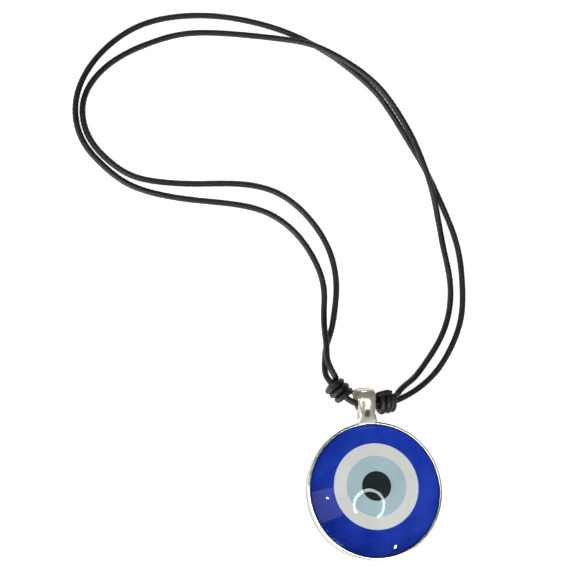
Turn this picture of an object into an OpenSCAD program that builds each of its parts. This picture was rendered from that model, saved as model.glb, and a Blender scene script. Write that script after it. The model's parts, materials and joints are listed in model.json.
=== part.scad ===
// Evil eye pendant on a doubled cord: a plated metal tray with a cast bail, a printed
// eye under a domed glass cabochon, and a waxed cord tied round itself with two
// sliding knots. The origin is the centre of the tray's back face. +Z points out
// through the dome and +Y points from the tray to the bail. Lengths are millimetres.

/* [Glass] */
// Diameter of the glass cabochon at its girdle
glass_d = 30; // [25:0.5:36]
// Height of the straight girdle below the dome
girdle_h = 1.6; // [1.2:0.1:2.4]
// Rise of the dome above the girdle
dome_h = 4.6; // [3:0.1:6]
// Width of the ground bevel round the flat back of the glass
bevel_w = 0.3; // [0.1:0.1:0.6]

/* [Tray] */
// Thickness of the tray's floor
floor_t = 0.9; // [0.6:0.1:1.4]
// Thickness of the tray's wall
wall_t = 0.7; // [0.5:0.1:1.2]
// Height that the wall stands above the girdle of the glass
lip_h = 0.35; // [0.1:0.05:0.8]
// Gap all round between the glass and the wall
glass_gap = 0.1; // [0.05:0.05:0.3]

/* [Print] */
// Thickness of the printed paper disc
paper_t = 0.2; // [0.1:0.05:0.3]
// Thickness of the layer of ink on the paper
ink_t = 0.05; // [0.04:0.01:0.1]
// Thickness of each film of glue, under the paper and on the print
glue_t = 0.1; // [0.05:0.05:0.2]
// Gap all round between the paper and the wall
paper_gap = 0.2; // [0.1:0.05:0.4]
// Outer diameter of the white ring of the eye
white_d = 18.6; // [15.6:0.2:22.4]
// Diameter of the sky-blue iris
iris_d = 13; // [10.4:0.2:15.6]
// Diameter of the black pupil
pupil_d = 6.3; // [4.9:0.1:8]
// How far the eye is printed off the tray's centre, to the right
eye_x = 0.4; // [-0.8:0.1:0.8]
// How far the eye is printed off the tray's centre, towards the bail
eye_y = 0.9; // [-1:0.1:1]

/* [Bail] */
// Diameter of the hole that the cord passes through
bail_hole_d = 4; // [3.9:0.1:4.8]
// Thickness of the metal round that hole
bail_wall = 0.85; // [0.6:0.05:1]
// Distance from the tray's wall to the centre of the hole
bail_reach = 5.2; // [4.4:0.1:6.4]
// Width of the bail across its top
bail_top_w = 4.7; // [4.2:0.1:4.8]
// Width of the bail at its foot on the tray
bail_foot_w = 3.2; // [2.6:0.1:3.9]
// Thickness of the bail's foot, front to back
bail_foot_t = 2.2; // [1.6:0.1:2.6]
// Gap that the solder fills between the foot and the tray
solder_gap = 0.02; // [0.01:0.01:0.05]

/* [Cord] */
// Diameter of the waxed cord
cord_d = 1.5; // [1.2:0.1:1.5]

/* [Knots] */
// Length of each sliding knot along the cord
knot_l = 4.8; // [4:0.1:4.9]
// Number of turns of cord in each knot
knot_turns = 3; // [2:1:3]
// Gap all round between a knot's core and the cord that slides through it
knot_slip = 0.05; // [0.02:0.01:0.08]
// Length of the trimmed tail that the left knot leaves
tail_l = 0.6; // [0.4:0.1:1.4]

/* [Hidden] */
$fn = 96;

// Heights of the layers in the tray, from its floor up
glue_z = floor_t;
paper_z = glue_z + glue_t;
ink_z = paper_z + paper_t;
film_z = ink_z + ink_t;
glass_z = film_z + glue_t;
girdle_top = glass_z + girdle_h;
tray_h = girdle_top + lip_h;

// Radii of the tray and of what lies in it
glass_r = glass_d / 2;
well_r = glass_r + glass_gap;
tray_r = well_r + wall_t;
paper_r = well_r - paper_gap;
film_r = glass_r - bevel_w;
dome_r = (glass_r * glass_r + dome_h * dome_h) / (2 * dome_h);
lip_round = wall_t / 3;
back_round = 0.3;

// The bail's ring stands on the same surface as the tray
bail_r = bail_hole_d / 2 + bail_wall;
bail_y = tray_r + bail_reach;
bail_top = bail_y + bail_r;
bail_corner = 0.8;

// The cord, and the wraps of the knots round it
cord_r = cord_d / 2;
cord_sides = 8;
wrap_r = cord_r + knot_slip + cord_r;
core_r = cord_r + knot_slip;
wrap_pitch = (knot_l - cord_d) / (knot_turns - 1);

// The whole cord, from its end tied in the left knot to its end tied in the right
// knot. Points are measured from the spot on the surface under the bail's hole.
// First the end that leaves the left knot beside its core, over the other strand
left_tied = [[-6.2, 5.85, 2.9], [-6.9, 7.3, 3.2], [-7.6, 9.9, 3.0], [-7.4, 13.3, 2.6]];
// then round the loop as the outer strand,
outer_loop = [
    [-7.2, 17.0, 1.8], [-6.6, 22.0, 0.8], [-6.0, 27.0, 0.8], [-7.5, 34.5, 0.8],
    [-11.5, 41.5, 0.8], [-17.5, 46.5, 0.8], [-25.0, 49.0, 0.8], [-34.0, 50.5, 0.8],
    [-43.0, 52.5, 0.8], [-50.0, 55.5, 0.8], [-55.5, 60.5, 0.8], [-59.0, 65.5, 0.8],
    [-60.5, 71.0, 0.8], [-60.0, 77.0, 0.8], [-57.0, 83.5, 0.8], [-51.0, 90.0, 0.8],
    [-43.5, 94.5, 0.8], [-33.5, 96.6, 0.8], [-23.5, 96.2, 0.8], [-15.0, 94.3, 0.8],
    [-7.5, 91.5, 0.8], [-2.0, 88.5, 0.8], [3.0, 85.0, 0.8], [8.0, 80.5, 0.8],
    [12.5, 75.5, 0.8], [16.5, 68.5, 0.8], [19.5, 62.0, 0.8], [22.0, 56.5, 0.8],
    [24.0, 51.0, 0.8], [26.0, 44.5, 0.8], [28.0, 35.5, 0.8], [28.0, 26.5, 0.8],
    [26.5, 18.0, 0.8], [22.6, 10.4, 0.8], [18.2, 5.2, 0.8]];
// up to the core of the right knot,
right_core = [[13.6, 1.9, 1.4], [9.9, 0.1, 2.5]];
// straight through it, through the bail and straight through the left knot,
bail_run = [
    [7.6, -0.7, 2.7], [2.65, -1.2, 2.7], [1.0, -1.05, 2.7], [-0.6, -0.8, 2.7],
    [-2.2, -0.5, 2.7], [-4.0, 0.7, 2.7], [-7.3, 4.5, 2.7]];
// down from its core,
left_core = [[-8.1, 6.4, 2.0], [-7.9, 9.8, 1.2], [-7.0, 13.5, 0.8]];
// round the loop again as the inner strand, with long humps over the outer one,
inner_loop = [
    [-5.5, 17.0, 0.8], [-4.0, 22.0, 0.8], [-3.0, 27.0, 0.8], [-3.5, 36.0, 0.8],
    [-7.5, 44.5, 0.8], [-15.0, 51.5, 0.8], [-24.0, 54.0, 0.8], [-33.5, 54.5, 0.8],
    [-42.5, 55.5, 0.8], [-49.0, 57.5, 0.8], [-54.0, 61.5, 0.8], [-57.4, 66.2, 0.8],
    [-58.8, 71.0, 0.8], [-58.3, 76.5, 0.8], [-55.0, 82.0, 0.8], [-48.5, 87.0, 0.8],
    [-41.5, 90.0, 0.8], [-33.5, 92.0, 0.8], [-24.5, 92.0, 0.8], [-16.0, 91.0, 0.8],
    [-8.0, 89.5, 1.4], [-2.5, 87.7, 2.4], [2.7, 85.0, 2.5], [8.5, 81.0, 2.2],
    [13.4, 76.0, 2.1], [17.5, 69.0, 2.0], [20.1, 62.4, 2.3], [21.7, 56.4, 2.5],
    [23.0, 50.5, 2.2], [24.0, 44.0, 0.9], [24.5, 35.5, 0.8], [25.0, 27.0, 0.8],
    [23.5, 19.0, 0.8], [20.1, 12.5, 0.8], [16.1, 7.6, 0.8]];
// and up to the right knot, where it is tied on top of the core
right_tied = [[12.1, 3.9, 2.2], [9.1, 1.9, 3.5], [7.7, 0.6, 3.8]];
cord_route = [for (p = concat(left_tied, outer_loop, right_core, bail_run,
                              left_core, inner_loop, right_tied)) p + [0, bail_y, 0]];

// Where each stretch of the route begins
outer_at = len(left_tied);
right_core_at = outer_at + len(outer_loop) - 1;
bail_at = right_core_at + len(right_core) + 1;
left_core_at = bail_at + len(bail_run) - 1;
inner_at = left_core_at + len(left_core) + 1;
right_tied_at = inner_at + len(inner_loop) - 1;
cord_end = len(cord_route) - 1;

function unit(v) = v / norm(v);

// Direction of the cord at point i of its route, from the points on both sides
function along(i) =
    unit(cord_route[min(i + 1, cord_end)] - cord_route[max(i - 1, 0)]);

// Ring of corners round point i of the route, square to the cord
function ring(i) =
    let(t = along(i), side = unit(cross([0, 0, 1], t)), up = cross(t, side))
    [for (k = [0 : cord_sides - 1])
        let(a = (k + 0.5) * 360 / cord_sides)
        cord_route[i] + cord_r * (cos(a) * side + sin(a) * up)];

// Stretch of cord swept along the route from one point to another, closed at its ends
module stretch(from, to) {
    last = to - from;
    corners = [for (i = [from : to]) each ring(i)];
    sides = [for (i = [0 : last - 1], k = [0 : cord_sides - 1])
        let(n = (k + 1) % cord_sides, a = i * cord_sides, b = a + cord_sides)
        each [[a + k, b + k, b + n], [a + k, b + n, a + n]]];
    first_cap = [[for (k = [0 : cord_sides - 1]) k]];
    last_cap = [[for (k = [0 : cord_sides - 1]) last * cord_sides + cord_sides - 1 - k]];
    polyhedron(corners, concat(sides, first_cap, last_cap));
}

// Disc of the eye, printed off the tray's centre
module eye_disc(d, t) {
    translate([eye_x, eye_y, ink_z])
        cylinder(d = d, h = t);
}

// Cup that holds the print and the glass, with a rounded lip and back edge
module bezel_tray() {
    color("silver")
        rotate_extrude()
            difference() {
                union() {
                    translate([0, back_round])
                        square([tray_r, tray_h - back_round - lip_round]);
                    square([tray_r - back_round, tray_h - lip_round]);
                    translate([tray_r - back_round, back_round])
                        circle(r = back_round);
                    translate([tray_r - 2 * lip_round, tray_h - 2 * lip_round])
                        square([lip_round, 2 * lip_round]);
                    translate([tray_r - lip_round, tray_h - lip_round])
                        circle(r = lip_round);
                    translate([tray_r - 2 * lip_round, tray_h - lip_round])
                        circle(r = lip_round);
                }
                translate([-1, floor_t])
                    square([well_r + 1, tray_h]);
                translate([-tray_r, -tray_h])
                    square([tray_r, 4 * tray_h]);
            }
}

// Side of the bail: a drop, round over the hole and drawn out to the foot on the tray
module bail_side() {
    hull() {
        translate([bail_y, bail_r])
            circle(r = bail_r);
        translate([tray_r - 1, bail_r - bail_foot_t / 2])
            square([1, bail_foot_t]);
    }
}

// Front of the bail: it narrows from its top to its foot
module bail_front() {
    hull() {
        for (s = [-1, 1])
            translate([s * (bail_top_w / 2 - bail_corner), bail_top - bail_corner])
                circle(r = bail_corner, $fn = 32);
        translate([-bail_foot_w / 2, tray_r - 1])
            square([bail_foot_w, 1]);
    }
}

// Tapered bail, soldered to the tray, with the hole for the cord along X
module bail() {
    color("silver")
        difference() {
            intersection() {
                rotate([90, 0, 90])
                    translate([0, 0, -bail_top_w])
                        linear_extrude(2 * bail_top_w)
                            bail_side();
                linear_extrude(2 * bail_r)
                    bail_front();
            }
            translate([-bail_top_w, bail_y, bail_r])
                rotate([0, 90, 0])
                    cylinder(d = bail_hole_d, h = 2 * bail_top_w);
            translate([0, 0, -1])
                cylinder(r = tray_r + solder_gap, h = tray_h + 2 * bail_r);
        }
}

// Film of glue under the paper
module tray_glue() {
    color("lightyellow")
        translate([0, 0, glue_z])
            cylinder(r = paper_r, h = glue_t);
}

// Disc of paper that carries the print
module print_paper() {
    color("white")
        translate([0, 0, paper_z])
            cylinder(r = paper_r, h = paper_t);
}

// Dark blue ink from the white ring out to the edge of the paper
module ink_blue_ground() {
    color("mediumblue")
        difference() {
            translate([0, 0, ink_z])
                cylinder(r = paper_r, h = ink_t);
            translate([0, 0, -ink_t])
                eye_disc(white_d, 3 * ink_t);
        }
}

// White ring of the eye
module ink_white_ring() {
    color("gainsboro")
        difference() {
            eye_disc(white_d, ink_t);
            translate([0, 0, -ink_t])
                eye_disc(iris_d, 3 * ink_t);
        }
}

// Sky-blue iris
module ink_sky_iris() {
    color("lightblue")
        difference() {
            eye_disc(iris_d, ink_t);
            translate([0, 0, -ink_t])
                eye_disc(pupil_d, 3 * ink_t);
        }
}

// Black pupil
module ink_pupil() {
    color("black")
        eye_disc(pupil_d, ink_t);
}

// Clear film of glue between the print and the glass
module glass_glue() {
    color("aliceblue", 0.4)
        translate([0, 0, film_z])
            cylinder(r = film_r, h = glue_t);
}

// Domed glass cabochon with a straight girdle and a bevelled flat back
module glass_cabochon() {
    color("aliceblue", 0.4)
        intersection() {
            translate([0, 0, glass_z])
                rotate_extrude()
                    polygon([[0, 0], [film_r, 0], [glass_r, bevel_w],
                             [glass_r, girdle_h + dome_h], [0, girdle_h + dome_h]]);
            translate([0, 0, girdle_top + dome_h - dome_r])
                sphere(r = dome_r);
        }
}

// Outer strand of the doubled loop
module outer_strand() {
    color("black")
        stretch(outer_at, right_core_at);
}

// Inner strand of the doubled loop
module inner_strand() {
    color("black")
        stretch(inner_at, right_tied_at);
}

// Cord through both knots and the bail
module bail_strand() {
    color("black")
        stretch(bail_at, left_core_at);
}

// The two strands that leave the left knot
module left_neck() {
    color("black") {
        stretch(0, outer_at);
        stretch(left_core_at, inner_at);
    }
}

// The two strands that reach the right knot
module right_neck() {
    color("black") {
        stretch(right_core_at, bail_at);
        stretch(right_tied_at, cord_end);
    }
}

// Sliding knot: turns of cord side by side round the core that the cord slides in
module knot() {
    rotate_extrude()
        difference() {
            union() {
                for (i = [0 : knot_turns - 1])
                    translate([wrap_r, cord_r + i * wrap_pitch])
                        circle(r = cord_r);
                translate([core_r, cord_r])
                    square([cord_r, knot_l - cord_d]);
            }
            translate([0, -1])
                square([core_r, knot_l + 2]);
        }
}

// Puts a child that stands along Z on the level stretch of cord between two points
module on_cord(from, to) {
    way = cord_route[to] - cord_route[from];
    translate(cord_route[from])
        rotate([90, 0, atan2(way[1], way[0]) + 90])
            children();
}

// Left knot, with the trimmed tail of the cord beside it
module left_knot() {
    color("black")
        on_cord(left_core_at - 1, left_core_at) {
            knot();
            translate([wrap_r, 0, -tail_l])
                cylinder(r = cord_r, h = tail_l + cord_r);
        }
}

// Right knot
module right_knot() {
    color("black")
        on_cord(bail_at + 1, bail_at)
            knot();
}

bezel_tray();
bail();
tray_glue();
print_paper();
ink_blue_ground();
ink_white_ring();
ink_sky_iris();
ink_pupil();
glass_glue();
glass_cabochon();
outer_strand();
inner_strand();
bail_strand();
left_neck();
right_neck();
left_knot();
right_knot();
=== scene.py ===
import bpy
import json
import math
import numpy as np
from mathutils import Matrix, Vector


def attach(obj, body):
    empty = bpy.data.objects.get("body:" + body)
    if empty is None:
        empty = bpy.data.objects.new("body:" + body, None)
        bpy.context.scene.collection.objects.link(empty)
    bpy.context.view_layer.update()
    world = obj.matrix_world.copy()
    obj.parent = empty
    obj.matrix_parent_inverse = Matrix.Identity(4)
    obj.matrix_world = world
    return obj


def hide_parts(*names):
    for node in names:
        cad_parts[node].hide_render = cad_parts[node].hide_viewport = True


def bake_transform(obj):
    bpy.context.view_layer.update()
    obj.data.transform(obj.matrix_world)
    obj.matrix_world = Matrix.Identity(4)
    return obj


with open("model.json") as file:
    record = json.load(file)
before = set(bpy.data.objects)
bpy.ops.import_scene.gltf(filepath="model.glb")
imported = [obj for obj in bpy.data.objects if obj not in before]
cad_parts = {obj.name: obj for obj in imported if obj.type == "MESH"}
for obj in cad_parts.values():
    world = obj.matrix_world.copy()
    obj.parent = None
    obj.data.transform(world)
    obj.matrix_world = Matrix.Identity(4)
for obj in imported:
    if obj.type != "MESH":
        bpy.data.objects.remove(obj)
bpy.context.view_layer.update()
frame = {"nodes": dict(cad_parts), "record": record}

# %% [markdown]
# # An evil eye pendant on a doubled cord
#
# A printed eye lies under a clear glass dome, in a shallow plated tray. A cast loop,
# the bail, is soldered to the tray's edge. One length of waxed cord goes through the
# bail, runs twice round the neck, and is tied round itself with two sliding knots.
#
# Lengths on the pendant are written in millimetres and multiplied by MM, because
# Blender and the frame both count in metres. The lamps' distances are in metres.

# %% The pieces that the frame brings
MM = 0.001
for body, nodes in frame["record"]["behaviour"]["bodies"].items():
    print(body, "carries", ", ".join(nodes))

# %% [markdown]
# ## The camera
#
# The pendant lies on its back and is seen from well above, a little from its lower
# left, so the doubled cord rises away to the upper left of the frame. A long lens at
# an arm's length keeps the round tray nearly round. The camera is placed by where it
# looks, how high it stands, and how far it is turned about its own axis.

# %% Camera
LOOKS_AT = np.array([-15.0, 50.0, 0.0]) * MM
AZIMUTH, ELEVATION, ROLL = np.radians([226.0, 72.5, 39.0])
DISTANCE = 390 * MM

towards = np.array([math.cos(ELEVATION) * math.cos(AZIMUTH),
                    math.cos(ELEVATION) * math.sin(AZIMUTH),
                    math.sin(ELEVATION)])
level = np.cross([0, 0, 1], towards)
level /= np.linalg.norm(level)
upright = np.cross(towards, level)
right = math.cos(ROLL) * level + math.sin(ROLL) * upright
above = -math.sin(ROLL) * level + math.cos(ROLL) * upright

camera = bpy.data.objects.new("camera", bpy.data.cameras.new("camera"))
camera.data.lens = 105
camera.data.sensor_width = 36
camera.data.clip_start, camera.data.clip_end = 0.01, 10
place = np.eye(4)
place[:3, 0], place[:3, 1], place[:3, 2] = right, above, towards
place[:3, 3] = LOOKS_AT + DISTANCE * towards
camera.matrix_world = Matrix(place.tolist())
bpy.context.collection.objects.link(camera)
bpy.context.scene.camera = camera
print("camera at", np.round(place[:3, 3] / MM, 1), "mm")

# %% [markdown]
# ## Shapes as grids
#
# Each new piece is a surface worked out on a grid: rows run along it, columns run
# across or round it. Numpy fills the whole grid at once, and one helper turns the
# grid into faces. A round piece joins its last column to its first, and its open ends
# are closed with a cap.

# %% From a grid of points to a piece
def grid_faces(rows, columns, wrap_columns=True, wrap_rows=False, first=0):
    """Quads between neighbouring rows and columns; a wrapped side joins last to first."""
    r = np.arange(rows if wrap_rows else rows - 1)[:, None]
    c = np.arange(columns if wrap_columns else columns - 1)[None, :]
    r2, c2 = (r + 1) % rows, (c + 1) % columns
    quads = np.stack([r * columns + c, r2 * columns + c, r2 * columns + c2,
                      r * columns + c2], axis=-1)
    return quads.reshape(-1, 4) + first


def make_piece(name, points, quads, caps=()):
    """A smooth mesh object at the origin from points in metres, quads, and cap faces."""
    mesh = bpy.data.meshes.new(name)
    mesh.from_pydata(points.reshape(-1, 3).tolist(), [],
                     quads.tolist() + [np.asarray(cap).tolist() for cap in caps])
    mesh.polygons.foreach_set("use_smooth", np.ones(len(mesh.polygons), bool))
    mesh.validate()
    mesh.update()
    piece = bpy.data.objects.new(name, mesh)
    bpy.context.collection.objects.link(piece)
    print(name, "has", len(mesh.vertices), "points and", len(mesh.polygons), "faces")
    return piece


def unit(vectors):
    """Each vector divided by its own length."""
    return vectors / np.linalg.norm(vectors, axis=-1, keepdims=True)


# %% [markdown]
# ## The cord
#
# The cord is braided cotton, 1.5 mm thick and soaked in wax. It is limp, but the wax
# makes it hold wide, smooth curves. It is a single length of about 63 cm: one end is
# tied in the left knot, the cord runs round the neck, goes straight through the right
# knot, the bail and the left knot, runs round the neck again, and its other end is
# tied in the right knot. Pulling the two knots apart makes the necklace shorter.
#
# It lies flat. Where one strand crosses the other, it rises in a long low hump.
# The same points carry the plain solids of the frame, so the cord lies where they are.

# %% The points that the cord follows
CORD_D = 1.5 * MM
CORD_R = CORD_D / 2
BAIL_Y = 21.0

left_tied = [[-6.2, 5.85, 2.9], [-6.9, 7.3, 3.2], [-7.6, 9.9, 3.0], [-7.4, 13.3, 2.6]]
outer_loop = [
    [-7.2, 17.0, 1.8], [-6.6, 22.0, 0.8], [-6.0, 27.0, 0.8], [-7.5, 34.5, 0.8],
    [-11.5, 41.5, 0.8], [-17.5, 46.5, 0.8], [-25.0, 49.0, 0.8], [-34.0, 50.5, 0.8],
    [-43.0, 52.5, 0.8], [-50.0, 55.5, 0.8], [-55.5, 60.5, 0.8], [-59.0, 65.5, 0.8],
    [-60.5, 71.0, 0.8], [-60.0, 77.0, 0.8], [-57.0, 83.5, 0.8], [-51.0, 90.0, 0.8],
    [-43.5, 94.5, 0.8], [-33.5, 96.6, 0.8], [-23.5, 96.2, 0.8], [-15.0, 94.3, 0.8],
    [-7.5, 91.5, 0.8], [-2.0, 88.5, 0.8], [3.0, 85.0, 0.8], [8.0, 80.5, 0.8],
    [12.5, 75.5, 0.8], [16.5, 68.5, 0.8], [19.5, 62.0, 0.8], [22.0, 56.5, 0.8],
    [24.0, 51.0, 0.8], [26.0, 44.5, 0.8], [28.0, 35.5, 0.8], [28.0, 26.5, 0.8],
    [26.5, 18.0, 0.8], [22.6, 10.4, 0.8], [18.2, 5.2, 0.8]]
right_core = [[13.6, 1.9, 1.4], [9.9, 0.1, 2.5]]
bail_run = [
    [7.6, -0.7, 2.7], [2.65, -1.2, 2.7], [1.0, -1.05, 2.7], [-0.6, -0.8, 2.7],
    [-2.2, -0.5, 2.7], [-4.0, 0.7, 2.7], [-7.3, 4.5, 2.7]]
left_core = [[-8.1, 6.4, 2.0], [-7.9, 9.8, 1.2], [-7.0, 13.5, 0.8]]
inner_loop = [
    [-5.5, 17.0, 0.8], [-4.0, 22.0, 0.8], [-3.0, 27.0, 0.8], [-3.5, 36.0, 0.8],
    [-7.5, 44.5, 0.8], [-15.0, 51.5, 0.8], [-24.0, 54.0, 0.8], [-33.5, 54.5, 0.8],
    [-42.5, 55.5, 0.8], [-49.0, 57.5, 0.8], [-54.0, 61.5, 0.8], [-57.4, 66.2, 0.8],
    [-58.8, 71.0, 0.8], [-58.3, 76.5, 0.8], [-55.0, 82.0, 0.8], [-48.5, 87.0, 0.8],
    [-41.5, 90.0, 0.8], [-33.5, 92.0, 0.8], [-24.5, 92.0, 0.8], [-16.0, 91.0, 0.8],
    [-8.0, 89.5, 1.4], [-2.5, 87.7, 2.4], [2.7, 85.0, 2.5], [8.5, 81.0, 2.2],
    [13.4, 76.0, 2.1], [17.5, 69.0, 2.0], [20.1, 62.4, 2.3], [21.7, 56.4, 2.5],
    [23.0, 50.5, 2.2], [24.0, 44.0, 0.9], [24.5, 35.5, 0.8], [25.0, 27.0, 0.8],
    [23.5, 19.0, 0.8], [20.1, 12.5, 0.8], [16.1, 7.6, 0.8]]
right_tied = [[12.1, 3.9, 2.2], [9.1, 1.9, 3.5], [7.7, 0.6, 3.8]]
stretches = [left_tied, outer_loop, right_core, bail_run, left_core, inner_loop, right_tied]
route = (np.array(sum(stretches, [])) + [0, BAIL_Y, 0]) * MM
print(len(route), "points along the cord")

# %% [markdown]
# A cord has no corners, so the points are joined by a cubic spline: a chain of cubic
# curves that share their slope and their bend where they meet. The spline is sampled
# finely once, and every later step asks for places along it by length.

# %% A smooth line through the points
def spline(points, count):
    """Natural cubic spline through the points, at count places evenly spaced in chord
    length. The second derivatives solve the usual three-term equations, which ask the
    slope to be the same on both sides of each point. Also returns where each point
    falls, as a share of the chord."""
    gaps = np.linalg.norm(np.diff(points, axis=0), axis=1)
    chord = np.concatenate([[0], np.cumsum(gaps)])
    slopes = np.diff(points, axis=0) / gaps[:, None]
    inner = np.arange(1, len(points) - 1)
    system = np.eye(len(points))
    system[inner, inner - 1] = gaps[:-1]
    system[inner, inner] = 2 * (gaps[:-1] + gaps[1:])
    system[inner, inner + 1] = gaps[1:]
    wanted = np.zeros_like(points)
    wanted[inner] = 6 * np.diff(slopes, axis=0)
    bend = np.linalg.solve(system, wanted)
    t = np.linspace(0, chord[-1], count)
    k = np.clip(np.searchsorted(chord, t, side="right") - 1, 0, len(points) - 2)
    after, before, gap = (t - chord[k])[:, None], (chord[k + 1] - t)[:, None], gaps[k][:, None]
    line = ((bend[k] * before ** 3 + bend[k + 1] * after ** 3) / (6 * gap)
            + (points[k] / gap - bend[k] * gap / 6) * before
            + (points[k + 1] / gap - bend[k + 1] * gap / 6) * after)
    return line, chord / chord[-1]


def lengths(line):
    """Length along a line at each of its points."""
    steps = np.linalg.norm(np.diff(line, axis=0), axis=1)
    return np.concatenate([[0], np.cumsum(steps)])


def along(line, run, places):
    """Points of the line at the given places, counted in length along it."""
    return np.stack([np.interp(places, run, line[:, axis]) for axis in range(3)], axis=-1)


fine_route, shares = spline(route, 40000)
fine_route[:, 2] = np.maximum(fine_route[:, 2], CORD_R)
route_run = lengths(fine_route)
point_run = np.interp(shares, np.linspace(0, 1, len(fine_route)), route_run)
print("the cord is", round(route_run[-1] / MM), "mm long without its knots")

# %% [markdown]
# ### The braid
#
# A round braid is two families of strands that wind the opposite way round a core and
# take turns to lie on top. Its surface is worked out as a height on the cord's skin:
# each family makes rounded ridges, and each ridge rises where it crosses over and
# sinks where it goes under. The higher of the two families is what shows.
#
# The wax fills the valleys a little, so the ridges are only about a tenth of a
# millimetre high. The height is also kept on the piece as an attribute, so that the
# wax can be duller in the valleys than on the worn crowns.

# %% Height of the braid
STRANDS = 6
PICK = 1.05 * MM


def braid(run, turn):
    """Height of the braid from 0 to 1, for lengths run and angles turn (in turns).
    a and b count the strands of the two families; a ridge is one minus the square of
    the distance from its middle; over is plus where family a crosses on top."""
    a = STRANDS * turn + run / PICK
    b = STRANDS * turn - run / PICK
    ridge_a = 1 - (2 * (a - np.floor(a)) - 1) ** 2
    ridge_b = 1 - (2 * (b - np.floor(b)) - 1) ** 2
    over = np.sin(np.pi * a) * np.sin(np.pi * b)
    high_a = 0.62 * ridge_a ** 0.6 + 0.38 * over
    high_b = 0.62 * ridge_b ** 0.6 - 0.38 * over
    return np.clip(np.maximum(high_a, high_b), 0, 1)


def cord_grid(line, outward, run, sides=32, relief=0.14 * MM, start=0.0):
    """Grid of the braided skin: rings square to the line, turned so that their first
    point faces outward. The radius is the cord's less the relief, plus the braid's
    height times the relief, and breathes by one hundredth along the cord."""
    ahead = unit(np.gradient(line, run, axis=0))
    first = unit(outward - np.sum(outward * ahead, axis=1, keepdims=True) * ahead)
    second = np.cross(ahead, first)
    turn = np.arange(sides) / sides
    height = braid(run[:, None] + start, turn[None, :])
    breath = 1 + 0.012 * np.sin((run + start) * 900) + 0.008 * np.sin((run + start) * 2300)
    radius = (CORD_R * breath)[:, None] - relief + relief * height
    angle = 2 * np.pi * turn
    grid = line[:, None, :] + radius[..., None] * (
        np.cos(angle)[None, :, None] * first[:, None, :]
        + np.sin(angle)[None, :, None] * second[:, None, :])
    return grid, height


def cord_piece(name, tubes, sides=32):
    """One piece from several braided tubes, each with two caps. Its uv map counts
    length along the cord and turns round it; its crown attribute is the braid's height."""
    points, quads, caps, crowns, uvs, first = [], [], [], [], [], 0
    for line, outward, run, start in tubes:
        grid, height = cord_grid(line, outward, run, sides, start=start)
        rows = len(line)
        points.append(grid.reshape(-1, 3))
        crowns.append(height.ravel())
        quads.append(grid_faces(rows, sides, first=first)[:, ::-1])
        caps += [first + np.arange(sides), first + (rows - 1) * sides + np.arange(sides)[::-1]]
        r, c = np.meshgrid(np.arange(rows - 1), np.arange(sides), indexing="ij")
        corner_run = (run + start)[np.stack([r, r + 1, r + 1, r], -1)][..., ::-1]
        corner_turn = (np.stack([c, c, c + 1, c + 1], -1) / sides)[..., ::-1]
        uvs.append(np.stack([corner_run / CORD_D, corner_turn], -1).reshape(-1, 2))
        first += rows * sides
    piece = make_piece(name, np.concatenate(points), np.concatenate(quads), caps)
    uvs.append(np.zeros((len(piece.data.loops) - sum(map(len, uvs)), 2)))
    piece.data.uv_layers.new(name="cord").data.foreach_set(
        "uv", np.concatenate(uvs).astype(np.float32).ravel())
    piece.data.attributes.new("crown", "FLOAT", "POINT").data.foreach_set(
        "value", np.concatenate(crowns).astype(np.float32))
    return piece


# %% [markdown]
# ### The strands, the necks and the stretch through the bail
#
# The cord is cut where something can move. The two long strands stay where they lie.
# The short necks beside each knot are pieces of their own.

# %% Cut the cord at its joints
ends = np.cumsum([0] + [len(stretch) for stretch in stretches])
OUTER, RIGHT_CORE, BAIL_RUN = ends[1], ends[2] - 1, ends[3]
LEFT_CORE, INNER, RIGHT_TIED = ends[4] - 1, ends[5], ends[6] - 1
LAST = len(route) - 1


def stretch_of(begin, finish, spacing=0.13 * MM):
    """The line between two of the route's points, with what the skin needs along it.
    The cord lies flat, so its outward side is up."""
    low, high = point_run[begin], point_run[finish]
    run = np.linspace(low, high, max(int((high - low) / spacing), 8))
    line = along(fine_route, route_run, run)
    return line, np.tile([0.0, 0.0, 1.0], (len(line), 1)), run, 0.0


outer_cord = cord_piece("outer_cord", [stretch_of(OUTER, RIGHT_CORE)])
inner_cord = cord_piece("inner_cord", [stretch_of(INNER, RIGHT_TIED)])
bail_cord = cord_piece("bail_cord", [stretch_of(BAIL_RUN, LEFT_CORE)])
left_cord_neck = cord_piece("left_cord_neck", [stretch_of(0, OUTER),
                                               stretch_of(LEFT_CORE, INNER)])
right_cord_neck = cord_piece("right_cord_neck", [stretch_of(RIGHT_CORE, BAIL_RUN),
                                                 stretch_of(RIGHT_TIED, LAST)])

# %% [markdown]
# ### The sliding knots
#
# Each knot is the cord's own end wound round the other strand and pulled tight. Its
# turns lean, spread and ride on each other, so they are not written as one even helix.
# A few rows say, turn by turn, how far along the knot the cord is, how far round, and
# how far out; the same spline makes them one smooth line.

# %% Wind a knot
KNOT_OUT = 1.8


def knot_line(rows, near, far, side):
    """Line of a knot in the frame. Each row is the distance along the axis from near
    to far, the turns round it counted from side towards up, and the distance out from
    the axis, in millimetres. For the spline a turn counts as the way round at
    KNOT_OUT from the axis. Also returns the direction away from the axis."""
    rows = np.array(rows)
    sweep = rows * [1.0, 2 * np.pi * KNOT_OUT, 1.0]
    smooth, _ = spline(sweep, 4000)
    axis = unit(far - near)
    across = unit(side - side @ axis * axis)
    up = np.cross(axis, across) * np.sign(np.cross(axis, across)[2])
    angle = smooth[:, 1] / KNOT_OUT
    out = np.cos(angle)[:, None] * across + np.sin(angle)[:, None] * up
    line = near + (smooth[:, :1] * axis + smooth[:, 2:] * out) * MM
    return line, out


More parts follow.
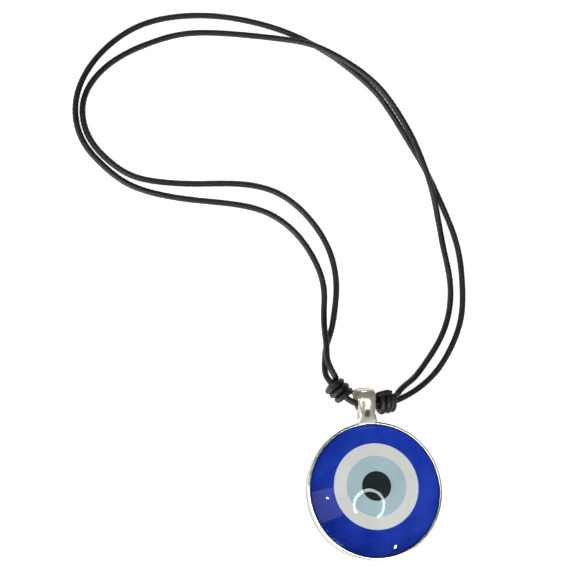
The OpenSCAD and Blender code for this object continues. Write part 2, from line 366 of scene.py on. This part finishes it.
def knot_tube(rows, near, far, side, start, spacing=0.12 * MM):
    """What the braided skin needs along a knot's line."""
    line, out = knot_line(rows, near, far, side)
    run = lengths(line)
    places = np.linspace(0, run[-1], int(run[-1] / spacing))
    return along(line, run, places), along(out, run, places), places, start


left_near, left_far = route[LEFT_CORE - 1], route[LEFT_CORE]
left_rows = [
    (5.20, 0.00, 1.75), (4.75, -0.10, 1.62), (4.45, -0.28, 1.62), (4.25, -0.50, 1.85),
    (3.95, -0.76, 2.00), (3.60, -1.00, 1.85), (3.25, -1.25, 1.55), (2.85, -1.50, 1.85),
    (2.45, -1.76, 2.05), (2.10, -2.00, 1.90), (1.75, -2.25, 1.60), (1.25, -2.50, 1.85),
    (0.95, -2.76, 1.95), (0.75, -2.95, 1.75), (0.45, -3.03, 1.60), (0.15, -3.05, 1.50)]
left_knot = cord_piece("left_sliding_knot", [
    knot_tube(left_rows, left_near, left_far, np.array([0.755, 0.656, 0.0]), 0.2)], sides=28)

right_near, right_far = route[BAIL_RUN + 1], route[BAIL_RUN]
right_rows = [
    (4.98, 0.154, 1.62), (4.35, 0.16, 1.62), (3.90, 0.28, 1.65), (3.65, 0.50, 1.85),
    (3.45, 0.75, 1.80), (3.20, 1.00, 1.62), (2.90, 1.25, 1.62), (2.60, 1.50, 1.90),
    (2.30, 1.76, 1.95), (1.95, 2.00, 1.62), (1.55, 2.25, 1.60), (1.20, 2.50, 1.90),
    (0.90, 2.76, 2.00), (0.72, 3.00, 1.75), (1.10, 3.08, 2.20), (1.90, 3.10, 2.42),
    (2.90, 3.10, 2.45), (3.70, 3.10, 2.10)]
right_knot = cord_piece("right_sliding_knot", [
    knot_tube(right_rows, right_near, right_far, np.array([-0.100, 0.995, 0.0]), 0.3)], sides=28)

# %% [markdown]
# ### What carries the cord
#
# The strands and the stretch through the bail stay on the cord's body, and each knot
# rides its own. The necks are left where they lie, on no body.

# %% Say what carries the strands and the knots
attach(outer_cord, "cord")
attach(inner_cord, "cord")
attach(bail_cord, "cord")
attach(left_knot, "left_knot")
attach(right_knot, "right_knot")
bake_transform(left_cord_neck)
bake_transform(right_cord_neck)
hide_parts("outer_strand")
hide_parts("inner_strand")
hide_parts("bail_strand")
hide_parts("left_neck")
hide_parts("right_neck")
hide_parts("left_knot")
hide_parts("right_knot")


# %% [markdown]
# ## The tray
#
# The tray is spun or stamped metal, plated and polished: a flat floor, a thin wall and
# a rounded lip that keeps the glass in. It is a solid of revolution, so one profile
# carried round the axis makes it. The wall wanders by a hundredth of a millimetre, as
# a polished rim does, which breaks up its reflections.

# %% Profile of the tray
GLASS_R, WELL_R, TRAY_R = 15.0, 15.1, 15.8
FLOOR_T, TRAY_H = 0.9, 3.3
LIP_R, BACK_R = 0.233, 0.3


def arc(centre, radius, start, stop, count):
    """Points on a circle between two angles in degrees."""
    angle = np.radians(np.linspace(start, stop, count))
    return np.array(centre) + radius * np.stack([np.cos(angle), np.sin(angle)], axis=-1)


tray_profile = np.concatenate([
    [[0.0, FLOOR_T], [5.0, FLOOR_T], [10.0, FLOOR_T], [14.9, FLOOR_T]],
    arc([WELL_R - 0.15, FLOOR_T + 0.15], 0.15, -80, 0, 5),
    [[WELL_R, 1.8], [WELL_R, 2.6]],
    arc([WELL_R + LIP_R, TRAY_H - LIP_R], LIP_R, 180, 95, 9),
    arc([TRAY_R - LIP_R, TRAY_H - LIP_R], LIP_R, 85, 0, 9),
    [[TRAY_R, 2.4], [TRAY_R, 1.7], [TRAY_R, 1.0]],
    arc([TRAY_R - BACK_R, BACK_R], BACK_R, 0, -90, 7),
    [[14.0, 0.0], [9.0, 0.0], [4.0, 0.0], [0.0, 0.0]]])


def lathe(name, profile, columns=288, wander=0.0):
    """Profile of (radius, height) rows in millimetres carried round Z. The radius
    wanders by a few slow waves, and both poles are closed by one point each."""
    angle = np.arange(columns) / columns * 2 * np.pi
    waves = 1 + wander * (np.sin(3 * angle + 1) + 0.6 * np.sin(7 * angle)
                          + 0.4 * np.sin(13 * angle + 2))
    ring = profile[1:-1]
    grid = np.stack([ring[:, :1] * np.cos(angle) * waves, ring[:, :1] * np.sin(angle) * waves,
                     np.repeat(ring[:, 1:], columns, axis=1)], axis=-1)
    rows = len(ring)
    points = np.concatenate([grid.reshape(-1, 3), [[0, 0, profile[0, 1]], [0, 0, profile[-1, 1]]]])
    k = np.arange(columns)
    k2 = (k + 1) % columns
    first, last = np.full(columns, rows * columns), np.full(columns, rows * columns + 1)
    end = (rows - 1) * columns
    fans = np.concatenate([np.stack([first, k, k2], axis=-1),
                           np.stack([last, end + k2, end + k], axis=-1)])
    return make_piece(name, points * MM, grid_faces(rows, columns), fans)


tray = lathe("metal_tray", tray_profile, wander=0.0006)
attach(tray, "pendant")
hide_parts("bezel_tray")

# %% [markdown]
# ## The glass
#
# The glass is a cabochon: a dome with a straight girdle and a flat back with a ground
# bevel. It is glued to the print with a clear film, and glue and glass bend light
# alike, so the back does not show. Here one solid stands for both, and it reaches a
# hair below the ink, so that no air lies between them.

# %% Profile of the glass and its film of glue
FILM_Z, GLASS_Z, GIRDLE_TOP, DOME_H, BEVEL = 1.24, 1.35, 2.95, 4.6, 0.3
DOME_R = (GLASS_R ** 2 + DOME_H ** 2) / (2 * DOME_H)
rim_angle = math.degrees(math.asin(GLASS_R / DOME_R))
dome = arc([0, GIRDLE_TOP + DOME_H - DOME_R], DOME_R, 90, 90 - rim_angle, 60)
glass_profile = np.concatenate([
    dome[:-1], [[GLASS_R - 0.03, GIRDLE_TOP + 0.02], [GLASS_R, GIRDLE_TOP - 0.05]],
    [[GLASS_R, 2.2], [GLASS_R, GLASS_Z + BEVEL], [GLASS_R - BEVEL, GLASS_Z]],
    [[GLASS_R - BEVEL, FILM_Z]],
    [[10.0, FILM_Z], [5.0, FILM_Z], [0.0, FILM_Z]]])
glass = lathe("glass_dome", glass_profile, columns=240)
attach(glass, "pendant")
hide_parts("glass_cabochon", "glass_glue")

# %% [markdown]
# ## The bail
#
# The bail is cast as a drop: round over the cord's hole, gently domed in front, and
# drawn out to a foot that is soldered to the tray. Its outline from the side is a
# smooth closed line. Each point of it is joined to the point of the hole that lies the
# same way from the hole's middle, and between the two goes a section with soft edges.
# The bail is widest at its top, and the solder spreads the foot along the tray.

# %% Section carried round the hole
HOLE_R, BAIL_Z = 2.0, 2.85
FOOT_W, TOP_W, WIDENS_OVER, SOLDER_FLARE = 3.2, 4.7, 7.2, 1.1
FOOT_END = TRAY_R - 0.3 - BAIL_Y
drop = np.array([
    [FOOT_END, 0.0], [FOOT_END, 0.9], [-4.7, 1.5], [-3.6, 2.05], [-2.3, 2.5], [-0.9, 2.8],
    [0.5, 2.82], [1.7, 2.3], [2.5, 1.37], [2.85, 0.0], [2.5, -1.37], [1.7, -2.29],
    [0.4, -2.82], [-1.2, -2.6], [-3.0, -1.95], [-4.6, -1.35], [FOOT_END, -0.9],
    [FOOT_END, 0.0]])


def soft_step(low, high, x):
    """From 0 below low to 1 above high, with level ends."""
    t = np.clip((x - low) / (high - low), 0, 1)
    return t * t * (3 - 2 * t)


def bail_grid(rows=260, columns=80, front=0.55, back=0.25, power=2.5):
    """Points of the bail in millimetres. The section is a superellipse whose outer half
    is front deep and whose inner half is back deep, with straight sides between. Its
    width grows evenly from the foot to the top; near the tray the solder flares it."""
    outline, _ = spline(np.column_stack([drop, np.zeros(len(drop))]), rows + 1)
    outline = outline[:-1, :2]
    hole = HOLE_R * unit(outline)
    section = (np.arange(columns) + 0.5) / columns * 2 * np.pi
    c, s = np.cos(section), np.sin(section)
    deep = np.sign(c) * np.abs(c) ** (2 / power)
    wide = np.sign(s) * np.abs(s) ** (2 / power)
    outward = unit(outline)[:, None, :]
    place = np.where(deep[None, :, None] > 0,
                     outline[:, None, :] - front * (1 - deep)[None, :, None] * outward,
                     hole[:, None, :] + back * (1 + deep)[None, :, None] * outward)
    y = BAIL_Y + place[..., 0]
    half = FOOT_W / 2 + (TOP_W - FOOT_W) / 2 * np.clip(
        (y - TRAY_R) / WIDENS_OVER, 0, 1)
    flare = SOLDER_FLARE * (1 - soft_step(TRAY_R - 0.4, TRAY_R + 1.0, y))
    return np.stack([(half + flare) * wide[None, :], y, BAIL_Z + place[..., 1]], axis=-1)


bail_points = bail_grid()
bail = make_piece("cast_bail", bail_points * MM,
                  grid_faces(bail_points.shape[0], bail_points.shape[1], wrap_rows=True))
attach(bail, "pendant")
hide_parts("bail")

# %% [markdown]
# ## Finishes
#
# A finish is a small tree of nodes. To keep its sums readable, one class wraps a
# socket so that plus, minus and times add Math nodes, and one method adds any other
# node from its type, its settings and what feeds it.

# %% Sockets that can be added and multiplied
class Value:
    """An output socket in a finish; each operator adds its Math node."""

    def __init__(self, finish, socket):
        self.finish, self.socket = finish, socket

    def math(self, operation, *feeds):
        return self.finish.add("ShaderNodeMath", {"operation": operation}, dict(enumerate(feeds)))

    def __add__(self, other):
        return self.math("ADD", self, other)

    def __sub__(self, other):
        return self.math("SUBTRACT", self, other)

    def __rsub__(self, other):
        return self.math("SUBTRACT", other, self)

    def __mul__(self, other):
        return self.math("MULTIPLY", self, other)

    __radd__ = __add__
    __rmul__ = __mul__


class Finish:
    """The nodes of one material, ending in one Principled shader."""

    def __init__(self, name, **plain):
        self.material = bpy.data.materials.new(name)
        self.material.use_nodes = True
        self.tree = self.material.node_tree
        self.tree.nodes.clear()
        self.out = self.tree.nodes.new("ShaderNodeOutputMaterial")
        self.skin = self.add("ShaderNodeBsdfPrincipled", {}, {
            key.replace("_", " "): value for key, value in plain.items()})
        self.feed(self.out.inputs["Surface"], self.skin)

    def feed(self, socket, value):
        """Link a Value to a socket, or write a plain number or colour on it."""
        if isinstance(value, Value):
            self.tree.links.new(value.socket, socket)
        else:
            socket.default_value = value

    def add(self, kind, settings, feeds, output=0):
        """A new node with its settings and what feeds it; gives one of its outputs."""
        node = self.tree.nodes.new(kind)
        for key, value in settings.items():
            setattr(node, key, value)
        for key, value in feeds.items():
            self.feed(node.inputs[key], value)
        return Value(self, node.outputs[output])

    def set(self, name, value):
        """Feed one of the shader's own sockets."""
        self.feed(self.skin.socket.node.inputs[name], value)

    def place(self):
        """Object coordinates, in metres."""
        return self.add("ShaderNodeTexCoord", {}, {}, "Object")

    def noise(self, where, scale, detail, roughness=0.5):
        """Soft noise round 0.5, with scale swells a metre and detail finer layers."""
        return self.add("ShaderNodeTexNoise", {}, {
            "Vector": where, "Scale": scale, "Detail": detail, "Roughness": roughness}, "Fac")

    def between(self, share, first, second):
        """A colour that goes from first to second as share goes from 0 to 1."""
        return self.add("ShaderNodeMix", {"data_type": "RGBA"}, {0: share, 6: first, 7: second}, 2)

    def bump(self, height, distance, strength):
        """A normal that tilts as if the skin rose by distance where height is 1."""
        return self.add("ShaderNodeBump", {}, {
            "Height": height, "Distance": distance, "Strength": strength}, "Normal")


def wear(piece, finish):
    """Give a piece this finish and no other."""
    piece.data.materials.clear()
    piece.data.materials.append(finish.material)


# %% [markdown]
# ### Waxed cotton
#
# The cotton is dyed black. The wax on the crowns of the braid is rubbed smooth and
# shines in short dashes; in the valleys it is thicker, duller and a little brown.

# %% Waxed cord
waxed = Finish("waxed cotton", Specular_IOR_Level=0.5)
crown = waxed.add("ShaderNodeAttribute", {"attribute_name": "crown"}, {}, "Fac")
where = waxed.place()
smear = waxed.noise(where, 420, 4)
fluff = waxed.noise(where, 5200, 3, 0.6)
waxed.set("Base Color", waxed.between(
    smear * (1 - crown * 0.7), (0.004, 0.0045, 0.004, 1), (0.040, 0.034, 0.028, 1)))
waxed.set("Roughness", 0.14 + 0.24 * smear + 0.45 * (1 - crown))
waxed.set("Normal", waxed.bump(fluff + 0.4 * smear, 0.04 * MM, 0.8))
for piece in (outer_cord, inner_cord, bail_cord, left_cord_neck, right_cord_neck,
              left_knot, right_knot):
    wear(piece, waxed)

# %% [markdown]
# ### Plated metal
#
# The tray has a bright white plating with fine polishing marks. The lip is buffed to a
# mirror. The outer wall below it is rougher and painted greyer as shade, with a painted
# dark brown line of shade across it. A dark line of shade is painted within the lip, where
# the glass begins. All of it is painted by how far the skin is from the tray's axis and
# how high it is. The back lies on skin or cloth and is left satin, not mirror.
#
# The bail is cast and plated a little warmer. Its top edge and its left side are painted
# darker brown as shade, a dark maroon reflection is painted above the foot, and the foot
# is painted near white as a highlight.

# %% Metals
def spread(finish, x, low, high):
    """0 where x is below low, 1 above high, and even in between."""
    return finish.add("ShaderNodeMapRange", {"clamp": True}, {
        "Value": x, "From Min": low, "From Max": high, "To Min": 0.0, "To Max": 1.0})


def parts_of(finish, where):
    """The three coordinates of a place, each as a value."""
    split = finish.add("ShaderNodeSeparateXYZ", {}, {"Vector": where})
    return [Value(finish, split.socket.node.outputs[axis]) for axis in range(3)]


bright = Finish("bright plating", Metallic=1.0)
where = bright.place()
x, y, z = parts_of(bright, where)
out = bright.add("ShaderNodeMath", {"operation": "SQRT"}, {0: x * x + y * y})
marks = bright.noise(where, 900, 5, 0.6)
dull = bright.noise(where, 330, 3, 0.5)
back = 1 - spread(bright, z, 0.05 * MM, 0.30 * MM)
# painted shade: a dark line within the lip, where the glass begins
painted_lip_shade = (1 - back) * (
    1 - spread(bright, out + 0.00008 * dull, (WELL_R + 0.15) * MM, (WELL_R + 0.27) * MM))
# painted shade: the outer wall below the lip is painted greyer
painted_wall_shade = (spread(bright, out, (TRAY_R - 0.12) * MM, (TRAY_R - 0.04) * MM)
        * (1 - spread(bright, z + 0.0002 * dull, 2.80 * MM, 3.05 * MM)))
# painted shade: a thin dark brown line across the outer wall
painted_shade_line = painted_wall_shade * spread(bright, z + 0.0002 * dull, 2.45 * MM, 2.70 * MM)
with_painted_wall_shade = bright.between(painted_wall_shade, (0.86, 0.84, 0.80, 1), (0.34, 0.335, 0.30, 1))
with_painted_shade_line = bright.between(0.8 * painted_shade_line, with_painted_wall_shade, (0.10, 0.07, 0.045, 1))
bright.set("Base Color", bright.between(painted_lip_shade, with_painted_shade_line, (0.020, 0.016, 0.014, 1)))
bright.set("Roughness", 0.08 + 0.12 * marks + 0.3 * painted_lip_shade + 0.15 * painted_wall_shade
           + back * (0.18 + 0.2 * dull))
bright.set("Normal", bright.bump(marks, 0.01 * MM, 0.25))
wear(tray, bright)

cast = Finish("warm plating", Metallic=0.55)
where = cast.place()
x, y, z = parts_of(cast, where)
skin = cast.noise(where, 260, 4, 0.55)
marks = cast.noise(where, 2400, 3, 0.6)
# painted shade: the top edge is painted dark brown
painted_top_shade = spread(cast, y + 0.0008 * skin, (BAIL_Y + 2.72) * MM, (BAIL_Y + 2.95) * MM)
# painted shade: the left side is painted darker
painted_left_shade = spread(cast, 0.0004 * skin - x, 1.6 * MM, 2.5 * MM)
# painted reflection: a dark maroon blob above the foot
from_x, from_y = (x + 0.15 * MM) * 1300, (y - (BAIL_Y - 3.6) * MM) * 800
painted_reflection_blob = 1 - spread(cast, from_x * from_x + from_y * from_y + 0.9 * skin, 0.7, 1.6)
clean = cast.between(skin, (0.90, 0.83, 0.75, 1), (0.76, 0.67, 0.59, 1))
shaded = cast.between(0.7 * painted_left_shade, clean, (0.20, 0.15, 0.12, 1))
with_painted_top_shade = cast.between(0.85 * painted_top_shade, shaded, (0.16, 0.09, 0.055, 1))
# painted highlight: the foot, where it meets the tray, is painted near white
painted_foot_highlight = 1 - spread(cast, y + 0.0003 * skin, (TRAY_R + 0.7) * MM, (TRAY_R + 1.3) * MM)
with_painted_reflection = cast.between(0.85 * painted_reflection_blob, with_painted_top_shade, (0.14, 0.045, 0.035, 1))
cast.set("Base Color", cast.between(painted_foot_highlight, with_painted_reflection, (0.97, 0.96, 0.93, 1)))
cast.set("Roughness", 0.15 + 0.08 * marks)
cast.set("Normal", cast.bump(skin + 0.1 * marks, 0.008 * MM, 0.10))
wear(bail, cast)

# %% [markdown]
# ### Clear glass
#
# The glass bends light as soda glass does. Lamps reach the print through it without
# waiting for the slow search for bent rays: for shadow rays it is simply clear.

# %% Glass
clear = Finish("clear glass", Base_Color=(1, 1, 1, 1), Transmission_Weight=1.0,
               Roughness=0.0, IOR=1.5)
lamp_ray = clear.add("ShaderNodeLightPath", {}, {}, "Is Shadow Ray")
open_way = clear.add("ShaderNodeBsdfTransparent", {}, {})
clear.feed(clear.out.inputs["Surface"], clear.add(
    "ShaderNodeMixShader", {}, {0: lamp_ray, 1: clear.skin, 2: open_way}))
wear(glass, clear)

# %% [markdown]
# ### The print
#
# The eye is printed on coated paper in four colours. Printed ink is never quite even:
# it carries a faint grain and slow clouds of lighter and darker ink.

# %% Inks, paper and glue
def ink(name, thin, thick, roughness=0.5):
    """A printed colour that drifts between its thin and its thick tone. Under the glue
    it has no sheen of its own, since the glue wets it."""
    finish = Finish(name, Roughness=roughness, Specular_IOR_Level=0.0)
    spot = finish.place()
    clouds = finish.noise(spot, 130, 4, 0.6)
    dots = finish.noise(spot, 3200, 2, 0.7)
    share = spread(finish, 0.75 * clouds + 0.25 * dots, 0.36, 0.66)
    finish.set("Base Color", finish.between(share, (*thick, 1), (*thin, 1)))
    return finish


inks = {
    "ink_blue_ground": ink("deep blue ink", (0.020, 0.055, 0.44), (0.003, 0.024, 0.32)),
    "ink_white_ring": ink("white ink", (0.71, 0.71, 0.67), (0.64, 0.63, 0.60)),
    "ink_sky_iris": ink("sky blue ink", (0.42, 0.55, 0.58), (0.34, 0.47, 0.50)),
    "ink_pupil": ink("black ink", (0.022, 0.029, 0.029), (0.012, 0.017, 0.018)),
    "print_paper": ink("coated paper", (0.8, 0.8, 0.77), (0.7, 0.7, 0.68)),
    "tray_glue": ink("clear glue", (0.8, 0.78, 0.7), (0.7, 0.68, 0.6), roughness=0.2),
}
for node, finish in inks.items():
    print(node, "wears", finish.material.name)
    wear(frame["nodes"][node], finish)

# %% [markdown]
# ## The studio
#
# The pendant lies on plain white card, a hair below its back. The card glows a little,
# as card lit from all sides does. A large soft panel stands low in front, where the
# dome does not mirror it, and a faint one stands at the left like a window. Three small
# lamps leave small highlights, and the open ring lamp above is the horseshoe that the
# dome and the bail reflect.

# %% Card
card_points = np.array([[x, y, -0.02] for y in (-900.0, 900.0) for x in (-900.0, 900.0)]) * MM
card = make_piece("card", card_points, np.array([[0, 1, 3, 2]]))
paper_card = Finish("white card", Base_Color=(0.9, 0.9, 0.9, 1), Roughness=0.8,
                    Emission_Color=(1, 1, 1, 1), Emission_Strength=0.85)
wear(card, paper_card)

# %% [markdown]
# The lamps are aimed at one spot between the pendant and the loop. Angles are counted
# from the X axis, and up from the card.

# %% Lamps
LIT_SPOT = Vector((-0.01, 0.03, 0.0))


def panel(name, azimuth, elevation, distance, size, power):
    """A square soft lamp aimed at the pendant."""
    lamp = bpy.data.lights.new(name, "AREA")
    lamp.shape, lamp.size, lamp.energy = "SQUARE", size, power
    a, e = math.radians(azimuth), math.radians(elevation)
    away = Vector((math.cos(e) * math.cos(a), math.cos(e) * math.sin(a), math.sin(e)))
    spot = LIT_SPOT + away * distance
    holder = bpy.data.objects.new(name, lamp)
    holder.matrix_world = Matrix.Translation(spot) @ (
        LIT_SPOT - spot).to_track_quat("-Z", "Y").to_matrix().to_4x4()
    bpy.context.collection.objects.link(holder)
    print(name, "gives", power, "W from a square of", size, "m")


panel("front panel", 226, 18, 0.9, 0.5, 6)
panel("left lamp", 180, 51, 1.2, 0.036, 1.25)
panel("right lamp", 299.4, 27.5, 1.2, 0.045, 1.0)
panel("window", 190, 46, 1.0, 0.55, 0.8)
panel("back lamp", 77, 13.3, 1.2, 0.05, 0.6)

RING_X, RING_Y, RING_Z, RING_R, RING_W = 18.5, -122.0, 600.0, 167.0, 34.0
RING_STEPS = 97
turn = np.radians(np.linspace(-59, 207, RING_STEPS))
radii = np.array([RING_R - RING_W / 2, RING_R + RING_W / 2])
ring_points = np.stack([RING_X + radii[None, :] * np.cos(turn)[:, None],
                        RING_Y + radii[None, :] * np.sin(turn)[:, None],
                        np.full((RING_STEPS, 2), RING_Z)], axis=-1)
ring = make_piece("ring_lamp", ring_points * MM, grid_faces(RING_STEPS, 2, wrap_columns=False))
tube_light = Finish("lamp tube", Base_Color=(0, 0, 0, 1),
                    Emission_Color=(0.91, 1.0, 0.94, 1), Emission_Strength=12.0)
wear(ring, tube_light)
ring.visible_camera = False
ring.visible_shadow = False

world = bpy.data.worlds.new("room")
world.use_nodes = True
world.node_tree.nodes["Background"].inputs["Color"].default_value = (1, 1, 1, 1)
world.node_tree.nodes["Background"].inputs["Strength"].default_value = 0.06
bpy.context.scene.world = world
bpy.context.scene.view_settings.view_transform = "Standard"
